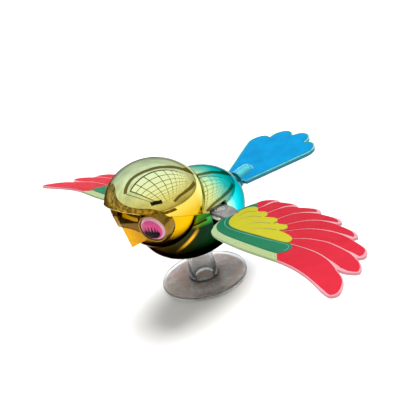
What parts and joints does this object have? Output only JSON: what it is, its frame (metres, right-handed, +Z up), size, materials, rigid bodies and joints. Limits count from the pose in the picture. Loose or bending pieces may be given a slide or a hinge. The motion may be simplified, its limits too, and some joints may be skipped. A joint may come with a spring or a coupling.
{
  "type": "flapping bird ornament",
  "caption": "Plated plastic bird on a clear disc stand. It bobs on a hidden spring, and its painted clear wings flap as it bobs.",
  "frame": {"origin": "centre of the round stand's underside, on the surface that it rests on", "axes": "+Z up; the bird faces -Y; its left wing points to +X"},
  "size_m": [0.223, 0.1243, 0.074],
  "materials": {
    "clear_plastic": "clear polished polystyrene",
    "foam_tape": "soft foam tape",
    "release_paper": "waxed release paper",
    "white_nylon": "moulded nylon",
    "bright_steel": "bright drawn steel",
    "plated_back": "mirror plating that fades from gold through lime to cyan",
    "plated_belly": "mirror plating that fades from orange gold to dark green",
    "plated_gold": "mirror gold plating",
    "dark_plastic": "dark green moulded plastic",
    "eye_print": "printed and lacquered disc",
    "wing_plastic": "clear plastic printed red, yellow and green",
    "tail_plastic": "clear blue plastic printed on top",
    "clear_rivet": "clear moulded plastic"
  },
  "bodies": {
    "stand": {"base_disc": "clear_plastic", "stand_post": "clear_plastic", "adhesive_pad": "foam_tape", "pad_liner": "release_paper", "post_cap": "white_nylon", "drive_rod": "bright_steel", "double_rack": "white_nylon", "rack_nut": "bright_steel", "return_spring": "bright_steel"},
    "bird": {"upper_shell": "plated_back", "lower_shell": "plated_belly", "post_bush": "dark_plastic", "mechanism_frame": "white_nylon", "frame_screws": "bright_steel", "wing_pins": "bright_steel", "beak": "plated_gold", "eye_socket_left": "plated_gold", "eye_socket_right": "plated_gold", "eye_disc_left": "eye_print", "eye_disc_right": "eye_print", "tail": "tail_plastic", "tail_peg": "dark_plastic", "tail_collar": "tail_plastic"},
    "wing_left_body": {"wing_left": "wing_plastic", "wing_lever_left": "white_nylon", "wing_rivet_left": "clear_rivet"},
    "wing_right_body": {"wing_right": "wing_plastic", "wing_lever_right": "white_nylon", "wing_rivet_right": "clear_rivet"}
  },
  "joints": [
    {"name": "bird_bob", "type": "slide", "parent": "stand", "child": "bird", "axis": [0, 0, 1], "range_m": [-0.0022, 0.0016], "stiffness_N_per_m": 500, "springref_m": 0.0024, "deforming": ["return_spring"]},
    {"name": "wing_hinge_left", "type": "hinge", "parent": "bird", "child": "wing_left_body", "pos_m": [0.016, 0.003, 0.0415], "axis": [0, -1, 0], "range_deg": [-15.8, 11.5]},
    {"name": "wing_hinge_right", "type": "hinge", "parent": "bird", "child": "wing_right_body", "pos_m": [-0.016, 0.003, 0.0415], "axis": [0, 1, 0], "range_deg": [-15.8, 11.5]}
  ],
  "couplings": [
    {"joint": "wing_hinge_left", "follows": "bird_bob", "rad_per_m": 125},
    {"joint": "wing_hinge_right", "follows": "bird_bob", "rad_per_m": 125}
  ]
}
